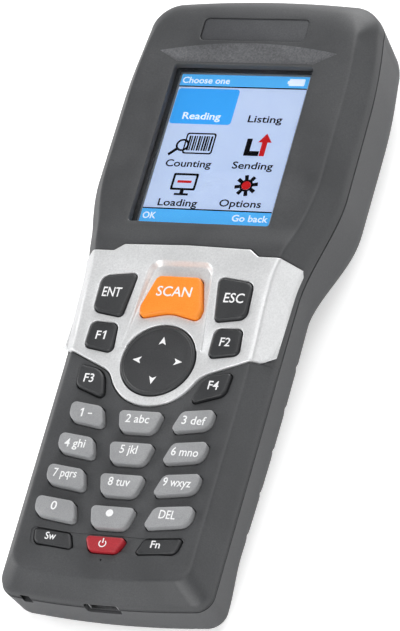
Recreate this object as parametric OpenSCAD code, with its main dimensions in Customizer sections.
// Handheld bar code data terminal: a two-part housing with a silver key panel, a small
// colour display, 22 push keys, a rocking navigation pad, a scan engine in the head and a
// battery under a tip-out cover in the back of the handle.
//
// Every piece is drawn with the face up: X to the right, Y from the tail to the head, and
// Z out of the face, with z = 0 at the face around the display. lay_down() then leans the
// whole terminal onto its back, as it lies on a table.

/* [Housing] */
// Length from the tail end to the head end
body_length = 170; // [168:0.5:180]
// Width across the head, at the parting line
head_width = 66.8; // [62:0.2:72]
// Width across the handle, just below the neck
handle_width = 56.4; // [55.8:0.2:60]
// How much narrower the tail is than the top of the handle
handle_taper = 2.4; // [0:0.2:4]
// Depth of the parting line under the face
seam_depth = 8.4; // [8:0.1:9.5]
// Depth of the back under the face at the tail
tail_depth = 22.5; // [21.5:0.1:25]
// Angle between the face and the back of the head, on which the terminal lies
lean = 4.5; // [3:0.1:6]
// How far the back of the handle is drawn in at the neck
grip_arch = 4.2; // [2:0.1:5]
// Radius of the long back edges along the handle
back_radius = 8.5; // [6:0.5:10]
// Plan radius of the head corners
head_corner = 8; // [6:0.5:11]
// Plan radius of the tail corners
tail_corner = 4.5; // [3:0.5:6]
// Wall thickness
wall = 2; // [1.6:0.1:2.4]

/* [Face] */
// Width of the sloping edge that runs round the face
bevel_width = 4.4; // [3.6:0.1:5]
// Depth of that sloping edge
bevel_drop = 5.5; // [5:0.1:5.8]
// Distance from the tail to the top edge of the silver panel
panel_top = 93.9; // [92:0.1:96]
// Height of the hump of the face under the silver panel
hump_height = 1.2; // [0.4:0.1:1.6]
// Depth of the number keypad under the face
keypad_drop = 0.9; // [0.4:0.1:1.2]
// Thickness of the silver panel
panel_thickness = 1.2; // [1:0.1:1.5]
// Height of the silver panel over the face
panel_proud = 0.45; // [0.2:0.05:0.6]
// Gap round the panel and the badge plate
trim_gap = 0.12; // [0.08:0.02:0.2]

/* [Display] */
// Width of the active area
screen_width = 34.8; // [30:0.2:36]
// Length of the active area
screen_length = 43.6; // [38:0.2:45]
// Distance from the tail to the middle of the display
screen_middle = 124.3; // [123:0.1:126]
// Black border between the active area and the opening
screen_border = 1.5; // [1:0.1:2]
// Depth of the clear window under the face
lens_drop = 1.9; // [1.5:0.1:2.1]
// Thickness of the clear window
lens_thickness = 1; // [0.8:0.1:1.2]
// Thickness of the gasket under the clear window
gasket_thickness = 0.25; // [0.2:0.05:0.4]
// Width of the bare badge plate
badge_width = 28.4; // [20:0.2:30]
// Length of the bare badge plate
badge_length = 6.6; // [5:0.2:7]

/* [Keys] */
// Radius of the round navigation pad
pad_radius = 9.7; // [9:0.1:10]
// Distance from the tail to the middle of the navigation pad
pad_middle = 62.6; // [62:0.1:63.2]
// Distance between two rows of number keys
row_pitch = 8.57; // [8.5:0.01:8.7]
// How far each lower row reaches further out
row_flare = 0.55; // [0:0.05:0.6]
// Height of the number keys over the keypad
key_proud = 1.7; // [1.2:0.1:2]
// Gap round a key in its hole
key_gap = 0.25; // [0.2:0.01:0.3]
// Rim under the face that holds a key in
key_rim = 0.6; // [0.5:0.05:0.65]
// Travel of a key
key_travel = 0.7; // [0.4:0.1:0.7]

/* [Inside] */
// Thickness of the circuit board
board_thickness = 1.2; // [1:0.1:1.6]
// Depth of the top of the circuit board under the face
board_drop = 6.6; // [6.4:0.1:6.8]
// Thickness of the keypad mat
mat_thickness = 0.6; // [0.4:0.1:0.8]
// Battery width
battery_width = 34; // [30:1:36]
// Battery length
battery_length = 50; // [44:1:51]
// Battery thickness
battery_thickness = 9.4; // [8:0.1:9.6]
// Gap round the battery in its bay
battery_gap = 0.3; // [0.2:0.1:0.6]
// Gap round the battery cover
cover_gap = 0.3; // [0.25:0.05:0.4]
// Width of the scan window
scan_width = 26; // [20:1:28]
// Height of the scan window
scan_height = 9; // [7:0.5:9.5]

/* [Hidden] */
$fn = 40;

housing_grey = "#505153";
key_grey = "#9c9da0";
key_black = "#333436";
step = 0.01;

// ---- Small helpers -------------------------------------------------------------------

function blend(a, b, t) = a + (b - a) * t;
function clamp01(t) = min(1, max(0, t));
function ease(t) = let(u = clamp01(t)) u * u * (3 - 2 * u);
function backwards(list) = [for (i = [len(list) - 1:-1:0]) list[i]];
function flipped(outline) = backwards([for (p = outline) [-p[0], p[1]]]);
function unit(v) = v / norm(v);
function middle(points) =
    [for (k = [0, 1]) let(v = [for (p = points) p[k]]) (max(v) + min(v)) / 2];

// Points of one rounded corner at b, between the neighbours a and c
function corner_arc(a, b, c, radius, pieces) =
    let(
        u = unit(a - b), v = unit(c - b), half = acos(u * v) / 2,
        centre = b + unit(u + v) * radius / sin(half),
        p = b + u * radius / tan(half) - centre, q = b + v * radius / tan(half) - centre,
        from = atan2(p[1], p[0]), turn = (atan2(q[1], q[0]) - from + 540) % 360 - 180
    )
    [for (i = [0:pieces]) centre + radius * [cos(from + turn * i / pieces), sin(from + turn * i / pieces)]];

// Closed outline through corners written as [x, y, radius]
function rounded(corners, pieces = 4) =
    let(n = len(corners), at = [for (c = corners) [c[0], c[1]]])
    [for (i = [0:n - 1]) each
        corner_arc(at[(i + n - 1) % n], at[i], at[(i + 1) % n], corners[i][2], pieces)];

// The same outline moved outwards by a distance, for an outline that runs anticlockwise
function grown(outline, by) =
    let(n = len(outline))
    [for (i = [0:n - 1])
        let(
            u = unit(outline[i] - outline[(i + n - 1) % n]), v = unit(outline[(i + 1) % n] - outline[i]),
            m = unit([u[1] + v[1], -u[0] - v[0]])
        )
        outline[i] + m * by / max(0.5, m * [u[1], -u[0]])];

module plate(outline, from, to) {
    translate([0, 0, from]) linear_extrude(to - from) polygon(outline);
}

module block(width, y0, y1, z0, z1, x = 0) {
    translate([x - width / 2, y0, z0]) cube([width, y1 - y0, z1 - z0]);
}

module post(x, y, z0, z1, radius) {
    translate([x, y, z0]) cylinder(r = radius, h = z1 - z0);
}

// Closed outline of a rectangle with one corner radius, from its middle and its half sizes
function rectangle(half_x, half_y, radius, at = [0, 0]) =
    rounded([for (c = [[1, -1], [1, 1], [-1, 1], [-1, -1]])
        [at[0] + c[0] * half_x, at[1] + c[1] * half_y, radius]]);

module both_sides() {
    children();
    mirror([1, 0, 0]) children();
}

// Ends of the cuts and blanks that only need to reach past everything
above = 4;
below = -50;

// ---- The form of the housing ---------------------------------------------------------

tail_arch = 1.1;
head_arch = 1.0;
neck_from = 84;
neck_to = 115;
back_neck_to = 112;
draw_from = body_length - 32;
head_draw = 3.7;
hump_from = 62;
hump_to = 84;
keypad_end = 60;
keypad_rise = 30;
grip_from = 12;
grip_to = 86;
neck_round = 1.5;
head_round = 3.5;
head_round_from = 111;
head_round_length = 44;
draft = 0.5;
side_steps = 24;
corner_steps = 4;

// Half the width at the parting line, a distance y from the tail
function half_width(y) =
    handle_width / 2 - handle_taper / 2 * clamp01(1 - y / neck_from)
    + (head_width - handle_width) / 2 * ease((y - neck_from) / (neck_to - neck_from))
    - head_draw * pow(max(0, (y - draw_from) / (body_length - draw_from)), 2);

// Height of the face: flat round the display, a hump under the panel, a sunk keypad
function face(y) =
    hump_height * ease((panel_top + 8 - y) / 8) * ease((y - hump_from) / (hump_to - hump_from))
    - keypad_drop * (1 - ease((y - keypad_end) / keypad_rise));

// Depth of the back: the head and the tail lie on one plane, the handle arches between
tail_foot = draft + back_radius;
function neck_share(y) = ease((y - neck_from) / (back_neck_to - neck_from));
function back_depth(y) =
    tail_depth + (y - tail_foot) * tan(lean)
    - grip_arch * pow(clamp01((y - grip_from) / (grip_to - grip_from)), 2) * (1 - neck_share(y));

// Radius of the long back edges: larger round the head
function edge_radius(y) =
    back_radius + neck_round * neck_share(y)
    + head_round * clamp01((y - head_round_from) / head_round_length);

// Point i of the half outline from the tail to the head, drawn in by a distance
side_first = 2 + corner_steps;
side_last = side_first + side_steps;
half_count = side_last + corner_steps + 2;
function outline_point(i, inset) =
    let(
        y0 = inset + tail_arch + tail_corner, y1 = body_length - inset - head_arch - head_corner,
        w0 = half_width(y0) - inset, w1 = half_width(y1) - inset
    )
    i < 2 ? [(w0 - tail_corner) * i / 2, inset + tail_arch * i * i / 4]
    : i <= side_first
        ? let(a = 90 * (i - 2) / corner_steps - 90)
            [w0 - tail_corner, y0] + tail_corner * [cos(a), sin(a)]
    : i < side_last
        ? let(y = blend(y0, y1, (i - side_first) / side_steps)) [half_width(y) - inset, y]
    : i <= side_last + corner_steps
        ? let(a = 90 * (i - side_last) / corner_steps)
            [w1 - head_corner, y1] + head_corner * [cos(a), sin(a)]
    : let(k = half_count - i) [(w1 - head_corner) * k / 2, body_length - inset - head_arch * k * k / 4];

// A full ring of points, from the tail middle up the right side and back down the left
function whole_ring(half) =
    concat(half, [for (i = [half_count - 1:-1:1]) [-half[i][0], half[i][1], half[i][2]]]);

// Steps of the face edge: how far in, how far down, and the way it faces (out, up)
face_edge = [
    [bevel_width + 0.8, 0, 0, 1], [bevel_width, 0.2, 0.4, 0.9], [bevel_width - 0.6, 0.7, 0.65, 0.75],
    [0.8, bevel_drop - 0.6, 0.81, 0.58], [0.4, bevel_drop, 0.95, 0.3], [0.2, bevel_drop + 0.9, 1, 0]
];

// Rings of the front housing from the parting line up, moved out by a distance
function front_rings(out) = concat(
    [whole_ring([for (i = [0:half_count]) let(p = outline_point(i, -out)) [p[0], p[1], -seam_depth]])],
    [for (e = backwards(face_edge))
        whole_ring([for (i = [0:half_count])
            let(p = outline_point(i, e[0] - out * e[2])) [p[0], p[1], face(p[1]) - e[1] + out * e[3]]])]
);

// Rings of the back from the parting line down, drawn in by a distance
back_steps = 5;
function back_rings(inset) = concat(
    [whole_ring([for (i = [0:half_count]) let(p = outline_point(i, inset)) [p[0], p[1], -seam_depth]])],
    [for (k = [0:back_steps])
        whole_ring([for (i = [0:half_count])
            let(
                a = 90 * k / back_steps, r = edge_radius(outline_point(i, 0)[1]) - inset,
                p = outline_point(i, draft + inset + r * (1 - cos(a)))
            )
            [p[0], p[1], -(back_depth(p[1]) - inset - r) - r * sin(a)]])]
);

// Faces between stacked rings, and strips across an end ring from side to side
function side_faces(rings, n, first) =
    [for (i = [0:rings - 2]) for (j = [0:n - 1])
        let(a = first + i * n + j, b = first + i * n + (j + 1) % n)
        each [[a, a + n, b + n], [a, b + n, b]]];
function strip_faces(n, first) =
    [for (k = [0:n / 2 - 1])
        let(a = first + k, b = first + k + 1, c = first + n - k - 1, d = first + (n - k) % n)
        each concat(k < n / 2 - 1 ? [[a, b, c]] : [], k > 0 ? [[a, c, d]] : [])];

// A solid through stacked rings. up says whether the rings climb
module ring_solid(rings, up = true) {
    n = len(rings[0]);
    last = (len(rings) - 1) * n;
    faces = concat(
        side_faces(len(rings), n, 0), strip_faces(n, 0), [for (f = strip_faces(n, last)) backwards(f)]
    );
    polyhedron([for (r = rings) each r], up ? faces : [for (f = faces) backwards(f)]);
}

// A shell with an open side at its first ring, between outer and inner rings
module ring_shell(outer, inner, up = true) {
    n = len(outer[0]);
    start = len(outer) * n;
    rim = [for (j = [0:n - 1])
        let(a = j, b = (j + 1) % n)
        each [[a, b, start + b], [a, start + b, start + a]]];
    inside = concat(
        side_faces(len(inner), n, start),
        [for (f = strip_faces(n, start + (len(inner) - 1) * n)) backwards(f)]
    );
    faces = concat(
        side_faces(len(outer), n, 0),
        [for (f = strip_faces(n, (len(outer) - 1) * n)) backwards(f)],
        [for (f = inside) backwards(f)],
        rim
    );
    polyhedron(
        concat([for (r = outer) each r], [for (r = inner) each r]),
        up ? faces : [for (f = faces) backwards(f)]
    );
}

// Flat ring of the housing's outline, drawn in by a distance, at a depth
function flat_ring(inset, drop) =
    whole_ring([for (i = [0:half_count]) let(p = outline_point(i, inset)) [p[0], p[1], -drop]]);

// Inside of the front housing, up to a flat ceiling in which the clear window lies flush
ceiling_drop = lens_drop + lens_thickness;
front_inner_rings = [
    flat_ring(wall, seam_depth), flat_ring(wall + 0.2, seam_depth - 1.4),
    flat_ring(wall + bevel_width - 1.2, ceiling_drop)
];

// Leans the terminal onto its back, with the middle of its length over the origin
lift = tail_depth * cos(lean) - tail_foot * sin(lean);
head_edge = body_length - draft;
head_edge_depth = back_depth(head_edge) - edge_radius(body_length);
mid_length = (seam_depth * sin(lean) + head_edge * cos(lean) + head_edge_depth * sin(lean)) / 2;
module lay_down() {
    translate([0, -mid_length, lift]) rotate([lean, 0, 0]) children();
}

// ---- Outlines of the panel and the keys ----------------------------------------------

// Silver panel: a ring round the pad that runs out to a skirt over each bevel
ring_width = 2.5;
ring_radius = pad_radius + ring_width;
fillet_radius = 6;
skirt_point = [23, pad_middle + 1.4];
skirt_angle = 23.5;
ear_low = [30.5, pad_middle + 4.7];
ear_high = panel_top - 2.3;
notch_outer = 19.3;
notch_inner = 16.8;
panel_arch = 0.4;
// The fillet's centre, fillet_radius under the skirt line and clear of the ring by as much
reach = ring_radius + fillet_radius;
skirt_normal = [-sin(skirt_angle), cos(skirt_angle)];
skirt_height = skirt_normal * (skirt_point - [0, pad_middle]) - fillet_radius;
fillet_angle = 90 + skirt_angle - acos(skirt_height / reach);
fillet_centre = [0, pad_middle] + reach * [cos(fillet_angle), sin(fillet_angle)];
ring_steps = 8;
ring_arc = [for (k = [0:ring_steps])
    let(a = blend(-90, fillet_angle, k / ring_steps)) [0, pad_middle] + ring_radius * [cos(a), sin(a)]];
fillet_arc = [for (k = [1:corner_steps])
    let(a = blend(fillet_angle + 180, 90 + skirt_angle, k / corner_steps))
    fillet_centre + fillet_radius * [cos(a), sin(a)]];
panel_half = concat(
    ring_arc, fillet_arc, [skirt_point, ear_low, [ear_low[0], ear_high]],
    corner_arc([ear_low[0], ear_high], [notch_outer, ear_high], [notch_inner, panel_top - panel_arch], 1, 2),
    corner_arc([notch_outer, ear_high], [notch_inner, panel_top - panel_arch], [0, panel_top], 1, 2),
    [[0, panel_top]]
);
panel_mirrored = [for (i = [len(panel_half) - 2:-1:1]) [-panel_half[i][0], panel_half[i][1]]];
panel_outline = concat(panel_half, panel_mirrored);
panel_low = -(bevel_drop + 0.3);

// Outlines that are measured from a line across the terminal
function placed(corners, y) = rounded([for (c = corners) [c[0], c[1] + y, c[2]]]);

// Sunk pocket round the scan key: its corners and its floor
pocket_outline = placed([[10.9, 3, 0.5], [8.5, 27, 3.5], [-8.5, 27, 3.5], [-10.9, 3, 0.5]], pad_middle);
pocket_floor = 0.1;
pocket_bottom = -1.3;
pocket_wall = 1.3;

// Keys round the pad, measured from its middle
enter_half = placed([[-12.3, 10.8, 0.9], [-10.7, 22.9, 0.9], [-20.2, 21.7, 2], [-20.4, 12, 1.8]], pad_middle);
f_upper = placed([[-12.6, 1.3, 1.4], [-12.9, 9.3, 1.7], [-20.1, 9.6, 1.5], [-20.5, 2.6, 1.5]], pad_middle);
f_lower = placed([[-11.2, -11.3, 1], [-13.2, -3.4, 4.5], [-20.3, -2, 1], [-19.8, -8.2, 2.5]], pad_middle);
scan_outline = placed([
    [0, 12.9, 9], [8.1, 11, 1.3], [8.6, 14, 1.2], [6.2, 22.9, 1.4], [-6.2, 22.9, 1.4],
    [-8.6, 14, 1.2], [-8.1, 11, 1.3]
], pad_middle);

// Number keys, measured from the foot of the upper middle key
number_rows = [0:3];
first_row = 42.4;
function side_key(row) =
    let(out = row_flare * row)
    placed(
        [[-8.5, 0.7, 0.8], [-10.4, 6.6, 1.8], [-19 - out, 7.7, 0.9], [-18.7 - out, 2.3, 2.8]],
        first_row - row_pitch * row
    );
function middle_key(row) =
    placed([[4.5, 0, 2.2], [6, 6, 0.9], [-6, 6, 0.9], [-4.5, 0, 2.2]], first_row - row_pitch * row);

// Keys at the tail and the shallow strip that they stand in
switch_outline = rounded([[-7.9, 11.1, 0.8], [-9.6, 15.3, 1.2], [-19.4, 16.2, 0.8], [-18.6, 12.1, 2]]);
power_outline = rounded([[3.6, 10.8, 1.8], [5.6, 15, 1], [-5.6, 15, 1], [-3.6, 10.8, 1.8]]);
strip_outline = rounded([
    [19.6, 11.5, 1.8], [20.2, 16.6, 1], [10, 15.6, 3], [-10, 15.6, 3], [-20.2, 16.6, 1], [-19.6, 11.5, 1.8]
]);
strip_drop = 0.2;

// Every push key: its outline and the height of its top
low_top = -keypad_drop + key_proud;
fn_top = 0;
upper_keys = [
    ["key_scan", scan_outline, 1.4],
    ["key_enter", enter_half, 1.75], ["key_escape", flipped(enter_half), 1.75],
    ["key_f1", f_upper, 0.35], ["key_f2", flipped(f_upper), 0.35]
];
lower_keys = concat(
    [["key_f3", f_lower, fn_top], ["key_f4", flipped(f_lower), fn_top]],
    [["key_power", power_outline, 0.3], ["key_switch", switch_outline, fn_top - 0.2]],
    [["key_function", flipped(switch_outline), fn_top - 0.2]],
    [for (i = number_rows) [["key_1", "key_4", "key_7", "key_0"][i], side_key(i), low_top]],
    [for (i = number_rows) [["key_2", "key_5", "key_8", "key_dot"][i], middle_key(i), low_top]],
    [for (i = number_rows) [["key_3", "key_6", "key_9", "key_delete"][i], flipped(side_key(i)), low_top]]
);
all_keys = concat(upper_keys, lower_keys);
function key_named(name) = [for (k = all_keys) if (k[0] == name) k][0];

// Depths inside the key stack
rim_gap = 0.2;
rim_thickness = 0.8;
rim_top = -ceiling_drop - rim_gap;
rim_bottom = rim_top - rim_thickness;
dome_height = 0.35;
dome_radius = 2.2;
dome_gap = 0.15;
plunger_radius = 1.5;
plunger_end = -board_drop + dome_height + key_travel + dome_gap;
pad_gap = 0.35;
pad_hole = pad_radius + pad_gap;
pad_rim = 0.75;
pad_ball_depth = 3;
pad_ball_radius = 1.6;
pad_nub_circle = 6.3;
pad_nub_radius = 1.2;
board_bottom = -board_drop - board_thickness;

// ---- Front housing, panel and trim -----------------------------------------------------

opening_half = [screen_width / 2 + screen_border, screen_length / 2 + screen_border - 0.15];
opening_outline = rectangle(opening_half[0], opening_half[1], 0.8, [0, screen_middle]);
lens_margin = 1.6;
lens_outline = rectangle(opening_half[0] + lens_margin, opening_half[1] + lens_margin, 1, [0, screen_middle]);
display_end = screen_middle + opening_half[1];

// Crescent over the display: a very shallow round scoop with pointed ends
crescent_top = display_end + 6.55;
crescent_tip = [opening_half[0] + 5.3, display_end + 3.95];
crescent_foot = [opening_half[0] - 0.3, display_end + 0.7];
crescent_slope = 8.5;
crescent_radius = 745;
module crescent() {
    half = [crescent_foot, crescent_tip, [crescent_tip[0], crescent_top + 1]];
    intersection() {
        translate([0, crescent_top, crescent_radius]) rotate([crescent_slope - 90, 0, 0])
            translate([0, 0, -2]) cylinder(r = crescent_radius, h = 12, $fn = 720);
        plate(concat(half, flipped(half)), -2, 1);
    }
}

badge_drop = 0.35;
badge_thickness = 0.8;
badge_middle = crescent_top + 0.9 + badge_length / 2;
badge_outline = rectangle(badge_width / 2, badge_length / 2, 1.2, [0, badge_middle]);

// Screws: [x, y] of each pair on the right side
case_screw_places = [[15.5, 7.9], [17, panel_top - 0.9], [18.6, crescent_top]];
board_screw_places = [
    [handle_width / 2 - 5.5, 27], [handle_width / 2 - 5.5, pad_middle - 2.1],
    [head_width / 2 - 8.1, screen_middle - 2.3]
];
case_screw_radius = 1;
case_screw_end = -4.6;
case_post_radius = 2.4;
case_head_depth = 13.6;
case_head_height = 1.6;
case_head_radius = 2.1;
case_slot_depth = 0.7;
board_screw_radius = 0.8;
board_screw_end = -4;
board_head_height = 0.9;
board_head_radius = 1.5;
board_post_radius = 1.5;
post_gap = 0.4;
bore_gap = 0.05;
bore_spare = 0.5;
post_top = -ceiling_drop + 0.4;
microphone = [0, 9.1, 0.35];

usb_width = 7.6;
usb_height = 2.7;
usb_length = 5.6;
usb_start = 0.9;
usb_middle = board_bottom - usb_height / 2;
slot_width = 9.2;
slot_height = 3.8;
module usb_slot() {
    translate([0, -1, usb_middle + 0.2]) rotate([-90, 0, 0]) linear_extrude(wall + 2)
        polygon(rectangle(slot_width / 2, slot_height / 2, 0.7));
}

// Lanyard tunnel across the left tail corner, through a thickened corner
lanyard_mouth = -20.2;
lanyard_width = 1.6;
lanyard_top = -7.2;
lanyard_bottom = -10.2;
lanyard_wall = 1.2;
module lanyard_tunnel() {
    translate([lanyard_mouth, 1, lanyard_bottom]) rotate([0, 0, 45])
        translate([-lanyard_width / 2, -3, 0]) cube([lanyard_width, 16, lanyard_top - lanyard_bottom]);
}
module lanyard_corner(spare, from, to) {
    reach_in = lanyard_mouth + (lanyard_width / 2 + lanyard_wall + spare) * sqrt(2);
    plate([[-40, -5], [reach_in + 6, -5], [reach_in - 8, 9], [-40, 9]], from, to);
}

module front_shell() {
    color(housing_grey) lay_down() difference() {
        union() {
            ring_shell(front_rings(0), front_inner_rings);
            both_sides() {
                for (p = case_screw_places) post(p[0], p[1], -seam_depth, post_top, case_post_radius);
                for (p = board_screw_places) post(p[0], p[1], -board_drop, post_top, board_post_radius);
            }
            intersection() {
                ring_solid(front_rings(-wall / 2));
                lanyard_corner(0, -seam_depth, lanyard_top + lanyard_wall);
            }
        }
        lanyard_tunnel();
        plate(opening_outline, -ceiling_drop - 1, above);
        plate(grown(lens_outline, trim_gap), -ceiling_drop - 1, -lens_drop);
        plate(grown(badge_outline, trim_gap), -badge_drop - badge_thickness, above);
        crescent();
        plate(strip_outline, -keypad_drop - strip_drop, above);
        post(microphone[0], microphone[1], -ceiling_drop - 1, above, microphone[2]);
        // Recess under the silver panel
        difference() {
            plate(grown(panel_outline, trim_gap), panel_low - trim_gap, above);
            difference() {
                ring_solid(front_rings(panel_proud - panel_thickness - trim_gap));
                plate(grown(pocket_outline, pocket_wall + trim_gap), pocket_bottom - trim_gap, above);
            }
        }
        for (k = all_keys) plate(grown(k[1], key_gap), -ceiling_drop - 1, above);
        post(0, pad_middle, -ceiling_drop - 1, above, pad_hole);
        both_sides() {
            for (p = case_screw_places)
                post(p[0], p[1], -seam_depth - 1, case_screw_end + bore_spare, case_screw_radius + bore_gap);
            for (p = board_screw_places)
                post(p[0], p[1], -board_drop - 1, board_screw_end + bore_spare,
                    board_screw_radius + bore_gap);
        }
        usb_slot();
    }
}

module silver_panel() {
    color("#c9cacd") lay_down() difference() {
        intersection() {
            ring_solid(front_rings(panel_proud));
            plate(panel_outline, panel_low, above);
        }
        difference() {
            ring_solid(front_rings(panel_proud - panel_thickness));
            plate(grown(pocket_outline, pocket_wall), pocket_bottom, above);
        }
        plate(pocket_outline, pocket_floor, above);
        for (k = upper_keys) plate(grown(k[1], key_gap), -above, above);
        post(0, pad_middle, -above, above, pad_hole);
    }
}

module badge_plate() {
    color("#5a5b5d") lay_down() plate(badge_outline, -badge_drop - badge_thickness, -badge_drop);
}

// ---- Display ---------------------------------------------------------------------------

lcd_border = 1.6;
lcd_thickness = 1.2;
lcd_top = -ceiling_drop - gasket_thickness;
frame_wall = 0.9;
frame_fit = 0.1;
gasket_margin = 0.6;
// A rectangle round the active area, larger by a margin on every side
module round_screen(margin, from, to) {
    block(screen_width + 2 * margin, screen_middle - screen_length / 2 - margin,
        screen_middle + screen_length / 2 + margin, from, to);
}

module screen_lens() {
    color([0.75, 0.8, 0.85, 0.35]) lay_down() plate(lens_outline, -ceiling_drop, -lens_drop);
}

module screen_gasket() {
    color("#222222") lay_down() difference() {
        plate(lens_outline, lcd_top, -ceiling_drop);
        round_screen(gasket_margin, lcd_top - 1, 0);
    }
}

module lcd_panel() {
    color("#8fb6e8") lay_down() round_screen(lcd_border, lcd_top - lcd_thickness, lcd_top);
}

module lcd_frame() {
    color("#d8d8d4") lay_down() difference() {
        round_screen(lcd_border + frame_fit + frame_wall, -board_drop, lcd_top);
        round_screen(lcd_border + frame_fit, lcd_top - lcd_thickness, 0);
    }
}

// ---- Keys ------------------------------------------------------------------------------

shoulder = 0.6;
// Cap of a key: upright sides, a rounded shoulder and a flat top
module key_cap(outline, from, to) {
    n = len(outline);
    levels = [[0, from], [0, to - shoulder], [shoulder * 0.3, to - shoulder * 0.3], [shoulder, to]];
    points = [for (l = levels) each [for (p = grown(outline, -l[0])) [p[0], p[1], l[1]]]];
    m = middle(outline);
    ends = [for (j = [0:n - 1])
        let(k = (j + 1) % n)
        each [[j, k, 4 * n], [3 * n + k, 3 * n + j, 4 * n + 1]]];
    polyhedron(
        concat(points, [[m[0], m[1], from], [m[0], m[1], to]]),
        concat(side_faces(len(levels), n, 0), ends)
    );
}

module push_key(name, paint) {
    k = key_named(name);
    m = middle(k[1]);
    color(paint) lay_down() union() {
        key_cap(k[1], rim_bottom, k[2]);
        plate(grown(k[1], key_rim), rim_bottom, rim_top);
        post(m[0], m[1], plunger_end, rim_top - step, plunger_radius);
    }
}

module key_scan() { push_key("key_scan", "#f0913d"); }
module key_enter() { push_key("key_enter", key_black); }
module key_escape() { push_key("key_escape", key_black); }
module key_f1() { push_key("key_f1", key_black); }
module key_f2() { push_key("key_f2", key_black); }
module key_f3() { push_key("key_f3", key_black); }
module key_f4() { push_key("key_f4", key_black); }
module key_1() { push_key("key_1", key_grey); }
module key_2() { push_key("key_2", key_grey); }
module key_3() { push_key("key_3", key_grey); }
module key_4() { push_key("key_4", key_grey); }
module key_5() { push_key("key_5", key_grey); }
module key_6() { push_key("key_6", key_grey); }
module key_7() { push_key("key_7", key_grey); }
module key_8() { push_key("key_8", key_grey); }
module key_9() { push_key("key_9", key_grey); }
module key_0() { push_key("key_0", key_grey); }
module key_dot() { push_key("key_dot", key_grey); }
module key_delete() { push_key("key_delete", key_grey); }
module key_switch() { push_key("key_switch", key_black); }
module key_power() { push_key("key_power", "#c33d42"); }
module key_function() { push_key("key_function", key_black); }

// Round pad: a hollow cap that rocks on the ball of the pivot pin
pad_top = 0;
pad_skin = 1.4;
pad_bottom = -4.9;
pad_rim_thickness = 0.8;
socket_gap = 0.05;
socket_radius = 3;
socket_end = -pad_ball_depth - 0.9;
socket_mouth = 1.15;
nub_gap = 0.2;
pivot_stem = 0.7;
pivot_hole = pivot_stem + 0.45;
module navigation_key() {
    color(key_black) lay_down() translate([0, pad_middle, 0]) difference() {
        union() {
            rotate_extrude($fn = 72) polygon([
                [0, pad_top - 0.3], [pad_radius - 2, pad_top - 0.1], [pad_radius - 0.5, pad_top],
                [pad_radius, pad_top - 0.4], [pad_radius, pad_bottom + pad_rim_thickness],
                [pad_radius + pad_rim, pad_bottom + pad_rim_thickness], [pad_radius + pad_rim, pad_bottom],
                [pad_radius - pad_skin, pad_bottom], [pad_radius - pad_skin, pad_top - pad_skin],
                [socket_radius, pad_top - pad_skin], [socket_radius, socket_end], [0, socket_end]
            ]);
            for (a = [0:90:270]) rotate([0, 0, a])
                post(pad_nub_circle, 0, plunger_end - nub_gap, pad_top - pad_skin + 0.2, pad_nub_radius);
        }
        translate([0, 0, -pad_ball_depth]) sphere(r = pad_ball_radius + socket_gap);
        post(0, 0, -pad_ball_depth - 3, -pad_ball_depth, socket_mouth);
    }
}

module navigation_pivot() {
    color("silver") lay_down() translate([0, pad_middle, 0]) union() {
        translate([0, 0, -pad_ball_depth]) sphere(r = pad_ball_radius);
        post(0, 0, board_bottom - 0.2, -pad_ball_depth, pivot_stem);
    }
}

// ---- Key switches and board ------------------------------------------------------------

nub_places = [for (a = [0:90:270]) [0, pad_middle] + pad_nub_circle * [cos(a), sin(a)]];
dome_places = concat([for (k = all_keys) middle(k[1])], nub_places);
mat_hole = 3.2;
mat_margin = 4.8;
mat_from = 8.4;
mat_to = pad_middle + 25.4;
mat_corner = 4;
mat_half = handle_width / 2 - mat_margin;
mat_tail_half = mat_half + 0.4 - handle_taper / 2;
mat_outline = rounded([
    [mat_tail_half, mat_from, mat_corner - 1], [mat_half, mat_to, mat_corner],
    [-mat_half, mat_to, mat_corner], [-mat_tail_half, mat_from, mat_corner - 1]
]);

module keypad_mat() {
    color("#e4e4de") lay_down() difference() {
        plate(mat_outline, -board_drop, -board_drop + mat_thickness);
        for (k = all_keys) let(m = middle(k[1])) post(m[0], m[1], -board_drop - 1, 0, mat_hole);
        post(0, pad_middle, -board_drop - 1, 0, pad_radius);
        both_sides() {
            for (p = board_screw_places) post(p[0], p[1], -board_drop - 1, 0, board_post_radius + post_gap);
            for (p = case_screw_places) post(p[0], p[1], -board_drop - 1, 0, case_post_radius + post_gap);
        }
    }
}

module dome_switches() {
    color("#c9b26b") lay_down()
        for (p = dome_places) post(p[0], p[1], -board_drop, -board_drop + dome_height, dome_radius);
}

board_gap = 1;
module main_board() {
    color("#1e6b3c") lay_down() difference() {
        plate([for (p = flat_ring(wall + board_gap, 0)) [p[0], p[1]]], board_bottom, -board_drop);
        both_sides() {
            for (p = case_screw_places) post(p[0], p[1], board_bottom - 1, 0, case_post_radius + post_gap);
            for (p = board_screw_places) post(p[0], p[1], board_bottom - 1, 0, board_screw_radius + 0.15);
        }
        post(0, pad_middle, board_bottom - 1, 0, pivot_hole);
        lanyard_corner(0.4, board_bottom - 1, 0);
    }
}

module board_screws() {
    color("silver") lay_down() both_sides() for (p = board_screw_places) {
        post(p[0], p[1], board_bottom - step, board_screw_end, board_screw_radius);
        post(p[0], p[1], board_bottom - board_head_height, board_bottom, board_head_radius);
    }
}

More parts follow.
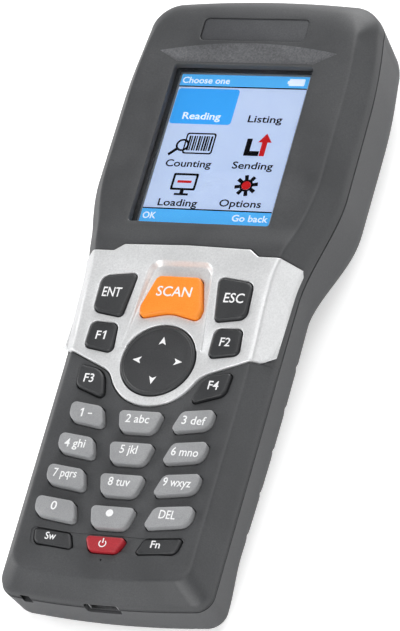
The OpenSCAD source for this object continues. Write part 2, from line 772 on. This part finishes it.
usb_skin = 0.35;
usb_foot = 1.6;
module usb_socket() {
    half = usb_height / 2;
    end = usb_start + usb_length;
    color("silver") lay_down() union() {
        difference() {
            block(usb_width, usb_start, end, usb_middle - half, usb_middle + half);
            block(usb_width - 2 * usb_skin, usb_start - 1, end - 0.8,
                usb_middle - half + usb_skin, usb_middle + half - usb_skin);
        }
        // Tongue, and a soldered foot on each side
        block(usb_width - 3, usb_start + 1, end - 0.5, usb_middle - usb_skin, usb_middle + usb_skin);
        for (side = [-1, 1])
            block(usb_foot, end - 1.2, end, board_bottom - 0.6, board_bottom, side * (usb_width / 2 + 0.6));
    }
}

// ---- Rear housing ----------------------------------------------------------------------

bay_wall = 1.3;
bay_end = 69.6;
bay_start = bay_end - battery_length - 2 * battery_gap;
bay_half = battery_width / 2 + battery_gap;
bay_floor = board_bottom - 1.6;
bay_roof = bay_floor - bay_wall;

cover_half = bay_half + 2.7;
cover_from = bay_start - 6;
cover_to = bay_end + 5.4;
cover_top = -12;
cover_outline = rounded([
    [cover_half, cover_from, 3], [cover_half, cover_to, 2],
    [-cover_half, cover_to, 2], [-cover_half, cover_from, 3]
]);
ledge_width = 2.6;
skin_in = wall - 0.4;

back_post_radius = case_post_radius + 0.7;
screw_gap = 0.3;
window_fit = 0.1;
contact_gap = 0.3;
contact_half = 5;
contact_top = bay_roof - 0.8;
contact_bottom = contact_top - 6;

window_middle = -16;
window_wall = 1.5;
window_seat = body_length - 4.2;
window_margin = 1.3;
window_corner = 1.5;
collar_margin = 2.6;
function window_outline(extra, r) = rectangle(scan_width / 2 + extra, scan_height / 2 + extra, r);
// A prism through the head end, across the length of the terminal
module head_prism(outline, y0, y1) {
    translate([0, y1, window_middle]) rotate([90, 0, 0]) linear_extrude(y1 - y0) polygon(outline);
}

speaker_place = 124;
speaker_radius = 9;
speaker_height = 4;
sound_circle = 4.5;
sound_radius = 0.7;
// Moves to the inside of the back at a distance y, square to the back of the head
module on_back(y) {
    translate([0, y, -back_depth(y) + wall]) rotate([-lean, 0, 0]) children();
}

// Grip grooves over the long back edges of the handle, square to the round at an angle
grip_groove_first = 27;
grip_groove_pitch = 11.6;
grip_groove_radius = 1.4;
grip_groove_depth = 0.45;
grip_groove_length = 12;
grip_groove_angle = 27;
module grip_grooves() {
    both_sides() for (k = [0:4])
        let(
            y = grip_groove_first + grip_groove_pitch * k,
            r = edge_radius(y), out = r + grip_groove_radius - grip_groove_depth
        )
        translate([
            half_width(y) - draft - r + out * cos(grip_groove_angle), y,
            r - back_depth(y) - out * sin(grip_groove_angle)
        ])
        rotate([0, grip_groove_angle, 0])
            cylinder(r = grip_groove_radius, h = grip_groove_length, center = true);
}

module rear_shell() {
    color(housing_grey) lay_down() difference() {
        union() {
            ring_shell(back_rings(0), back_rings(wall), false);
            // Screw posts, battery bay and scan window collar, trimmed to the form of the back
            intersection() {
                ring_solid(back_rings(skin_in), false);
                union() {
                    both_sides() for (p = case_screw_places)
                        post(p[0], p[1], below, -seam_depth, back_post_radius);
                    difference() {
                        block(2 * (bay_half + bay_wall), bay_start - bay_wall, bay_end + bay_wall,
                            below, bay_floor);
                        block(2 * bay_half, bay_start, bay_end, below, bay_roof);
                    }
                    head_prism(window_outline(collar_margin, 2), window_seat - window_wall - 0.6,
                        body_length);
                    lanyard_corner(0, lanyard_bottom - lanyard_wall, -seam_depth);
                }
            }
            // Ledges that carry the bay on both sides of the cover's opening
            intersection() {
                difference() {
                    ring_solid(back_rings(skin_in), false);
                    ring_solid(back_rings(wall + cover_gap + bay_wall), false);
                }
                both_sides() block(cover_half + ledge_width - bay_half, cover_from - ledge_width,
                    bay_end + bay_wall, below, cover_top, (cover_half + ledge_width + bay_half) / 2);
            }
        }
        // Battery bay, cover opening and contact slot
        intersection() {
            block(2 * bay_half, bay_start, bay_end, below, bay_roof);
            ring_solid(back_rings(skin_in - 0.2), false);
        }
        difference() {
            plate(grown(cover_outline, cover_gap), below, cover_top);
            ring_solid(back_rings(wall + cover_gap), false);
        }
        block(2 * (contact_half + contact_gap), bay_end - 1, bay_end + bay_wall + 1,
            contact_bottom - contact_gap, contact_top + contact_gap);
        both_sides() for (p = case_screw_places) {
            post(p[0], p[1], below, -seam_depth + 1, case_screw_radius + screw_gap);
            post(p[0], p[1], below, -case_head_depth + case_head_height, case_head_radius + screw_gap);
        }
        // Scan window: its opening, and its seat from inside
        head_prism(window_outline(0, window_corner), window_seat - 3, body_length + 1);
        head_prism(window_outline(window_margin + window_fit, window_corner),
            window_seat - window_wall - 2, window_seat);
        usb_slot();
        lanyard_tunnel();
        grip_grooves();
        on_back(speaker_place) {
            post(0, 0, -wall - 2, 1, sound_radius);
            for (a = [0:60:300]) rotate([0, 0, a]) post(sound_circle, 0, -wall - 2, 1, sound_radius);
        }
    }
}

module scan_window() {
    color([0.5, 0.05, 0.05, 0.6]) lay_down()
        head_prism(window_outline(window_margin, window_corner - window_fit),
            window_seat - window_wall, window_seat);
}

// ---- Scan engine -----------------------------------------------------------------------

engine_width = 22;
engine_height = 12;
engine_length = 15;
engine_front = window_seat - window_wall - 3.2;
engine_top = window_middle + engine_height / 2;
engine_foot = window_middle - engine_height / 2;
bracket_wall = 1;
bracket_gap = 0.1;
// Lenses of the receiver and of the aiming light: [x, radius, depth, height over the front]
engine_lenses = [[4, 3.9, 4, 0.8], [-6, 2.1, 2, 0.3]];
lens_fit = 0.1;
// A round rod at x, from one distance from the tail to another
module rod(x, radius, y0, y1) {
    translate([x, y1, window_middle]) rotate([90, 0, 0]) cylinder(r = radius, h = y1 - y0);
}

module engine_body() {
    color("#3a3f44") lay_down() difference() {
        block(engine_width, engine_front - engine_length, engine_front, engine_foot, engine_top);
        for (l = engine_lenses) rod(l[0], l[1] + lens_fit, engine_front - l[2], engine_front + 1);
    }
}

module engine_lens() {
    color("#20242c") lay_down() union() {
        for (l = engine_lenses) rod(l[0], l[1], engine_front - l[2], engine_front + l[3]);
    }
}

module engine_bracket() {
    y0 = engine_front - engine_length + 2;
    y1 = engine_front - 3;
    color("silver") lay_down() difference() {
        block(engine_width + 2 * (bracket_gap + bracket_wall), y0, y1, engine_foot + 2, board_bottom);
        block(engine_width + 2 * bracket_gap, y0 - 1, y1 + 1, below, engine_top);
        block(engine_width - 4, y0 - 1, y1 + 1, engine_top + bracket_wall, board_bottom - bracket_wall);
    }
}

// ---- Battery, cover and small parts -----------------------------------------------------

battery_top = bay_roof - 0.1;
module battery() {
    at = [0, bay_start + battery_gap + battery_length / 2];
    color("#2c4f86") lay_down()
        plate(rectangle(battery_width / 2, battery_length / 2, 1.5, at),
            battery_top - battery_thickness, battery_top);
}

// Cover: a slice of the back with two hooks at the neck end and a finger recess
hook_place = 11;
hook_width = 7;
hook_reach = 2.2;
hook_thickness = 1.1;
hook_root = 1.8;
groove_radius = 0.4;
module battery_cover() {
    under = wall - back_depth(cover_to);
    hook_top = under + 0.4 + hook_thickness;
    color(housing_grey) lay_down() union() {
        difference() {
            intersection() {
                ring_solid(back_rings(0), false);
                plate(cover_outline, below, cover_top);
            }
            ring_solid(back_rings(wall), false);
            // Finger grooves, each shorter than the one before
            for (k = [0:3]) translate([0, cover_from + 6 + 1.6 * k, -back_depth(cover_from + 8)])
                rotate([0, 90, 0]) cylinder(r = groove_radius, h = 16 - 3 * k, center = true);
        }
        for (side = [-1, 1]) {
            block(hook_width, cover_to - hook_root, cover_to, under - 0.6, hook_top, side * hook_place);
            block(hook_width, cover_to - hook_root, cover_to + hook_reach,
                hook_top - hook_thickness, hook_top, side * hook_place);
        }
    }
}

module battery_contacts() {
    color("#c8a24a") lay_down() union() {
        block(2 * contact_half, bay_end + bay_wall + contact_gap, bay_end + bay_wall + 2.6,
            contact_bottom, board_bottom);
        for (x = [-3, 0, 3])
            block(1.2, bay_end - battery_gap, bay_end + bay_wall + 0.5, contact_bottom + 1, contact_top, x);
    }
}

module speaker() {
    color("#26282a") lay_down() on_back(speaker_place) union() {
        post(0, 0, 0, speaker_height, speaker_radius);
        post(0, 0, speaker_height - step, speaker_height + 1.2, speaker_radius * 0.6);
    }
}

module case_screws() {
    color("#303134") lay_down() both_sides() for (p = case_screw_places) difference() {
        union() {
            post(p[0], p[1], -case_head_depth, case_screw_end, case_screw_radius);
            post(p[0], p[1], -case_head_depth, -case_head_depth + case_head_height, case_head_radius);
        }
        block(0.6, p[1] - 1.3, p[1] + 1.3, -case_head_depth - 1, -case_head_depth + case_slot_depth, p[0]);
        block(2.6, p[1] - 0.3, p[1] + 0.3, -case_head_depth - 1, -case_head_depth + case_slot_depth, p[0]);
    }
}

front_shell();
rear_shell();
silver_panel();
screen_lens();
screen_gasket();
lcd_panel();
lcd_frame();
badge_plate();
key_scan();
key_enter();
key_escape();
key_f1();
key_f2();
key_f3();
key_f4();
navigation_key();
navigation_pivot();
key_1();
key_2();
key_3();
key_4();
key_5();
key_6();
key_7();
key_8();
key_9();
key_0();
key_dot();
key_delete();
key_switch();
key_power();
key_function();
keypad_mat();
dome_switches();
main_board();
usb_socket();
scan_window();
engine_body();
engine_lens();
engine_bracket();
battery();
battery_cover();
battery_contacts();
speaker();
board_screws();
case_screws();
